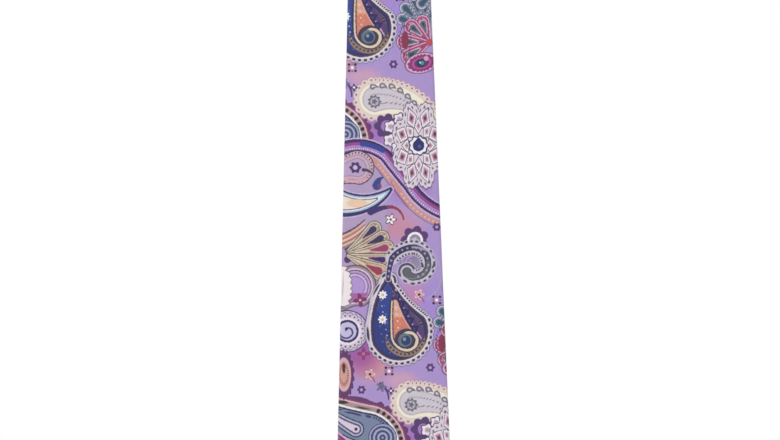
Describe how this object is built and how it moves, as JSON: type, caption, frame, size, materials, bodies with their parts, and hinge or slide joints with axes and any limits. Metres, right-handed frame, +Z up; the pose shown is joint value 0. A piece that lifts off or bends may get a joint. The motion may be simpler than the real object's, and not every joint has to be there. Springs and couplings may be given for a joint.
{
  "type": "necktie",
  "caption": "Printed silk necktie, folded over at its neck, with pointed blades, lined tips, a keeper loop and blank labels.",
  "frame": {"origin": "top of the rail, where the inside of the neck's fold rests", "axes": "+Z up, +X across the tie, -Y out of the front blade's printed face"},
  "size_m": [0.0854, 0.041, 0.7512],
  "materials": {
    "printed_silk": "satin",
    "interlining_wool": "matte",
    "lining_satin": "satin",
    "label_satin": "satin",
    "lilac_thread": "matte"
  },
  "bodies": {
    "neck": {"neck_gusset_saddle": "printed_silk", "neck_interlining_saddle": "interlining_wool"},
    "front_blade": {"front_gusset_run": "printed_silk", "front_blade_shell": "printed_silk", "front_interlining": "interlining_wool", "front_tipping": "lining_satin", "front_slip_stitch": "lilac_thread", "front_bar_tack": "lilac_thread", "keeper_loop": "printed_silk", "keeper_tack_left": "lilac_thread", "keeper_tack_right": "lilac_thread", "maker_label": "label_satin", "maker_label_tack_upper_left": "lilac_thread", "maker_label_tack_upper_right": "lilac_thread", "maker_label_tack_lower_left": "lilac_thread", "maker_label_tack_lower_right": "lilac_thread", "care_label_stitch": "lilac_thread"},
    "tail_blade": {"tail_gusset_run": "printed_silk", "tail_blade_shell": "printed_silk", "tail_interlining": "interlining_wool", "tail_tipping": "lining_satin", "tail_slip_stitch": "lilac_thread", "tail_bar_tack": "lilac_thread"},
    "care_label": {"care_label": "label_satin"}
  },
  "joints": [
    {"name": "front_swing", "type": "hinge", "parent": "neck", "child": "front_blade", "pos_m": [0, -0.016, -0.016], "axis": [-1, 0, 0], "range_deg": [0, 60]},
    {"name": "tail_swing", "type": "hinge", "parent": "neck", "child": "tail_blade", "pos_m": [0, 0.016, -0.016], "axis": [1, 0, 0], "range_deg": [0, 60]},
    {"name": "care_label_flip", "type": "hinge", "parent": "front_blade", "child": "care_label", "pos_m": [0, -0.0155, -0.58246], "axis": [1, 0, 0], "range_deg": [0, 150]}
  ]
}
